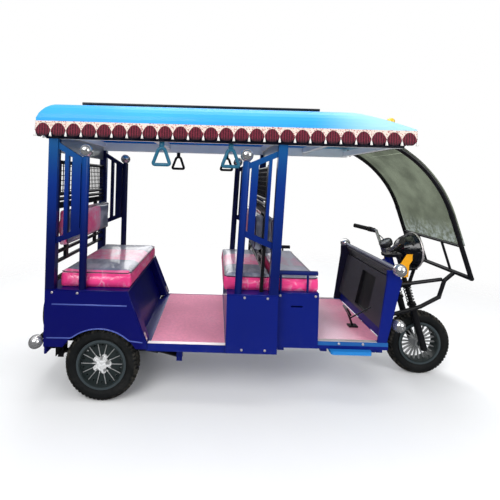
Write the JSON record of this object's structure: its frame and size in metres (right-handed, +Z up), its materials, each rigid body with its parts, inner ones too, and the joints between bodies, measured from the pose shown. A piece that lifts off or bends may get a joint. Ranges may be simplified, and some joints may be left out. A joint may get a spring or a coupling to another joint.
{
  "type": "electric auto rickshaw",
  "caption": "Open-sided electric passenger three-wheeler with a raked steering fork, facing bench seats, slatted side frames, a fringed canopy and a spare wheel.",
  "frame": {"origin": "on the ground, at the middle of the length and width", "axes": "+X forward, +Y to the vehicle's left, +Z up"},
  "size_m": [2.886, 0.9666, 1.85],
  "materials": {
    "body_paint": "deep blue gloss paint on sheet steel",
    "mat_rubber": "dusty pink floor mat",
    "sky_paint": "sky blue gloss skin",
    "black_plastic": "black plastic",
    "black_paint": "black gloss paint on steel tube",
    "polished_sheet": "polished sheet steel",
    "chrome": "chrome plate",
    "seat_vinyl": "pink vinyl over foam",
    "fringe_cloth": "dark red cloth trim",
    "amber_lamp": "amber lamp cover",
    "clear_sheet": "clear plastic sheet",
    "lamp_glass": "clear fluted lamp glass",
    "grey_plastic": "grey plastic liner",
    "red_lamp": "red lamp cover",
    "rubber": "black rubber",
    "amber_paint": "amber yellow paint",
    "tyre_rubber": "black tyre rubber",
    "rim_paint": "dark grey paint with bright ribs"
  },
  "bodies": {
    "chassis": {"chassis_frame": "body_paint", "floor_deck": "body_paint", "floor_mats": "mat_rubber", "side_steps": "sky_paint", "rear_side_panel_right": "body_paint", "rear_side_panel_left": "body_paint", "rear_back_panel": "body_paint", "rear_seat_base": "body_paint", "bench_box": "body_paint", "driver_box": "body_paint", "mid_side_panels": "body_paint", "battery_pack": "black_plastic", "rear_side_frame_right": "body_paint", "rear_side_frame_left": "body_paint", "mid_side_frame_right": "body_paint", "mid_side_frame_left": "body_paint", "rear_grille": "black_paint", "mid_grille": "black_paint", "header_panels": "polished_sheet", "chrome_balls": "chrome", "rear_seat_cushion": "seat_vinyl", "rear_back_cushion": "seat_vinyl", "bench_cushion": "seat_vinyl", "driver_cushion": "seat_vinyl", "mid_back_cushions": "seat_vinyl", "driver_seat_rails": "black_paint", "roof_frame": "body_paint", "roof_canopy": "sky_paint", "roof_fringe": "fringe_cloth", "roof_rack": "black_paint", "roof_marker_lamp": "amber_lamp", "grab_handles": "black_plastic", "windscreen_frame": "black_paint", "windscreen": "clear_sheet", "front_bumper": "black_paint", "leg_shield": "body_paint", "dash_liner": "grey_plastic", "brake_pedal": "black_paint", "rear_axle": "black_paint", "drive_motor": "black_paint", "leaf_springs": "black_paint", "rear_bumper": "black_paint", "spare_carrier": "black_paint", "spare_tyre": "tyre_rubber", "spare_rim": "rim_paint", "tail_lamps": "red_lamp", "mud_flaps": "rubber"},
    "steering": {"front_fork": "black_paint", "fork_springs": "chrome", "handlebar": "black_paint", "handlebar_grips": "rubber", "headlamp_bowl": "black_paint", "headlamp_lens": "lamp_glass", "headlamp_bracket": "amber_paint"},
    "front_wheel": {"front_tyre": "tyre_rubber", "front_rim": "rim_paint"},
    "rear_wheel_right": {"rear_tyre_right": "tyre_rubber", "rear_rim_right": "rim_paint"},
    "rear_wheel_left": {"rear_tyre_left": "tyre_rubber", "rear_rim_left": "rim_paint"}
  },
  "joints": [
    {"name": "steering_turn", "type": "hinge", "parent": "chassis", "child": "steering", "pos_m": [1.02372, 0, 0.74074], "axis": [-0.2924, 0, 0.9563], "range_deg": [-38, 38]},
    {"name": "front_wheel_spin", "type": "hinge", "parent": "steering", "child": "front_wheel", "pos_m": [1.218, 0, 0.225], "axis": [0, 1, 0], "continuous": true},
    {"name": "rear_wheel_right_spin", "type": "hinge", "parent": "chassis", "child": "rear_wheel_right", "pos_m": [-0.962, -0.38, 0.225], "axis": [0, 1, 0], "continuous": true},
    {"name": "rear_wheel_left_spin", "type": "hinge", "parent": "chassis", "child": "rear_wheel_left", "pos_m": [-0.962, 0.38, 0.225], "axis": [0, 1, 0], "continuous": true}
  ]
}
